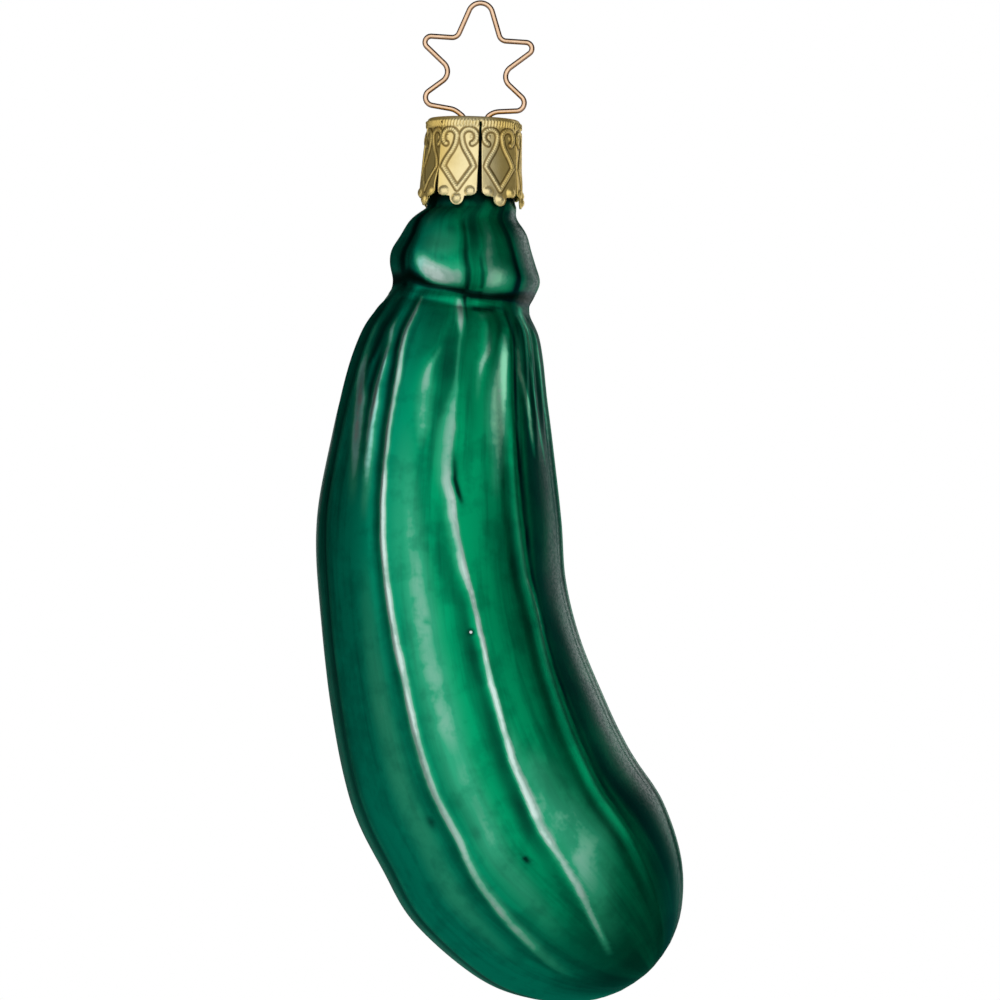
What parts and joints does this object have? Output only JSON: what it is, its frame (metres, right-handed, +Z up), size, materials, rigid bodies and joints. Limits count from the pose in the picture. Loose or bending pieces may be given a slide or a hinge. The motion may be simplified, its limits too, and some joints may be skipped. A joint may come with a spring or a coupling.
{
  "type": "glass zucchini ornament",
  "caption": "Hollow blown-glass hanging ornament in the shape of a curved ridged zucchini, with a pressed crown cap and a star-shaped wire hanger.",
  "frame": {"origin": "the inside of the top bend of the star hanger, where a hook or a thread bears", "axes": "+Z up as it hangs, +X towards the side that the fruit's tip points to, -Y towards the viewer"},
  "size_m": [0.0479, 0.0342, 0.1302],
  "materials": {
    "wire": "copper-plated spring wire, bright",
    "cap_metal": "gold-coloured pressed sheet, satin",
    "lacquered_glass": "glass silvered inside, satin dark green lacquer outside"
  },
  "bodies": {
    "hanger": {"star_hanger": "wire"},
    "cap": {"crown_cap": "cap_metal"},
    "glass": {"glass_body": "lacquered_glass"}
  },
  "joints": [
    {"name": "hanger_rock", "type": "hinge", "parent": "hanger", "child": "cap", "pos_m": [-0.00065, 0, -0.015], "axis": [1, 0, 0], "range_deg": [-4, 4]},
    {"name": "cap_pull", "type": "slide", "parent": "cap", "child": "glass", "axis": [0, 0, -1], "range_m": [0, 0.021]}
  ]
}
